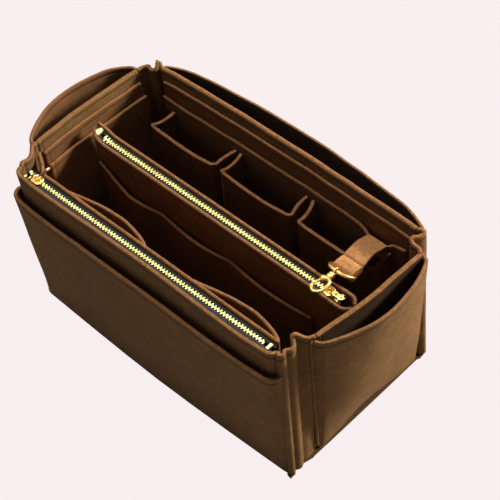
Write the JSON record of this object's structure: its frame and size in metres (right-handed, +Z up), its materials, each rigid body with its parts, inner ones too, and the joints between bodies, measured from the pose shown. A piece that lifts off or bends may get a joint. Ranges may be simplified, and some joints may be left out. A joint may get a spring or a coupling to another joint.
{
  "type": "purse organizer insert",
  "caption": "Felt tub insert for a handbag with pleated corners, zipped front and middle compartments, open pockets and a key strap with a snap hook.",
  "frame": {"origin": "middle of the footprint, on the surface that the insert stands on", "axes": "+X to the right along the length, +Y to the back, +Z up"},
  "size_m": [0.3702, 0.1966, 0.1638],
  "materials": {
    "felt_shell": "dense matt brown felt",
    "felt_inner": "dense matt brown felt",
    "board": "stiff board",
    "zip_tape": "woven dark tape",
    "zip_teeth": "pale bright brass",
    "gold_metal": "polished gold plating",
    "pull_tab": "dark rolled leather tab with a metal tip"
  },
  "bodies": {
    "tub": {"front_wall": "felt_shell", "right_end_wall": "felt_shell", "back_wall": "felt_shell", "left_end_wall": "felt_shell", "front_outer_pocket": "felt_shell", "right_outer_pocket": "felt_shell", "left_outer_pocket": "felt_shell", "back_outer_pocket": "felt_shell", "right_inner_pocket_high": "felt_inner", "right_inner_pocket_low": "felt_inner", "left_inner_pocket_high": "felt_inner", "left_inner_pocket_low": "felt_inner", "back_inner_pocket_high": "felt_inner", "back_inner_pocket_low": "felt_inner", "front_right_pleat": "felt_shell", "back_right_pleat": "felt_shell", "back_left_pleat": "felt_shell", "front_left_pleat": "felt_shell", "base_panel": "felt_shell", "base_board": "board", "base_liner": "felt_inner", "front_wall_lining": "felt_inner", "front_inner_pocket_left": "felt_inner", "front_inner_pocket_right": "felt_inner", "front_left_gusset": "felt_inner", "cell_pocket_1": "felt_inner", "cell_pocket_2": "felt_inner", "cell_pocket_3": "felt_inner", "pouch_front_panel": "felt_inner", "pouch_back_panel": "felt_inner", "pouch_slip_pocket": "felt_inner", "front_zip_front_tape": "zip_tape", "front_zip_front_teeth": "zip_teeth", "front_zip_front_top_stop": "zip_teeth", "front_zip_rear_tape": "zip_tape", "front_zip_rear_teeth": "zip_teeth", "front_zip_rear_top_stop": "zip_teeth", "front_zip_bottom_stop": "zip_teeth", "middle_zip_front_tape": "zip_tape", "middle_zip_front_teeth": "zip_teeth", "middle_zip_front_top_stop": "zip_teeth", "middle_zip_rear_tape": "zip_tape", "middle_zip_rear_teeth": "zip_teeth", "middle_zip_rear_top_stop": "zip_teeth", "middle_zip_bottom_stop": "zip_teeth", "strap_anchor": "felt_inner"},
    "front_slider": {"front_zip_slider": "gold_metal"},
    "front_puller": {"front_zip_puller": "pull_tab"},
    "middle_slider": {"middle_zip_slider": "gold_metal"},
    "middle_puller": {"middle_zip_puller": "gold_metal"},
    "strap": {"key_strap": "felt_inner"},
    "ring": {"d_ring": "gold_metal"},
    "swivel": {"swivel_eye": "gold_metal"},
    "hook": {"snap_hook": "gold_metal"},
    "gate": {"hook_gate": "gold_metal"}
  },
  "joints": [
    {"name": "front_zip_slide", "type": "slide", "parent": "tub", "child": "front_slider", "axis": [1, 0, 0], "range_m": [0, 0.255], "deforming": ["front_zip_front_teeth", "front_zip_rear_teeth"]},
    {"name": "front_puller_swing", "type": "hinge", "parent": "front_slider", "child": "front_puller", "pos_m": [-0.12773, -0.08317, 0.1616], "axis": [1, 0, 0], "range_deg": [0, 170]},
    {"name": "middle_zip_slide", "type": "slide", "parent": "tub", "child": "middle_slider", "axis": [-1, 0, 0], "range_m": [0, 0.255], "deforming": ["middle_zip_front_teeth", "middle_zip_rear_teeth"]},
    {"name": "middle_puller_lift", "type": "hinge", "parent": "middle_slider", "child": "middle_puller", "pos_m": [0.12327, -0.00167, 0.13985], "axis": [0, -1, 0], "range_deg": [0, 45]},
    {"name": "strap_lift", "type": "hinge", "parent": "tub", "child": "strap", "pos_m": [0.1133, 0.0694, 0.127], "axis": [-1, 0, 0], "range_deg": [0, 48]},
    {"name": "ring_swing", "type": "hinge", "parent": "strap", "child": "ring", "pos_m": [0.12127, 0.01983, 0.1415], "axis": [-1, 0, 0], "range_deg": [0, 80]},
    {"name": "swivel_swing", "type": "hinge", "parent": "ring", "child": "swivel", "pos_m": [0.12127, 0.01026, 0.14954], "axis": [-1, 0, 0], "range_deg": [0, 60]},
    {"name": "hook_spin", "type": "hinge", "parent": "swivel", "child": "hook", "pos_m": [0.12127, 0, 0.14954], "axis": [0, -1, 0], "continuous": true},
    {"name": "gate_open", "type": "hinge", "parent": "hook", "child": "gate", "pos_m": [0.11792, -0.00233, 0.14954], "axis": [0, 0, 1], "range_deg": [0, 25], "stiffness_Nm_per_rad": 0.002}
  ]
}
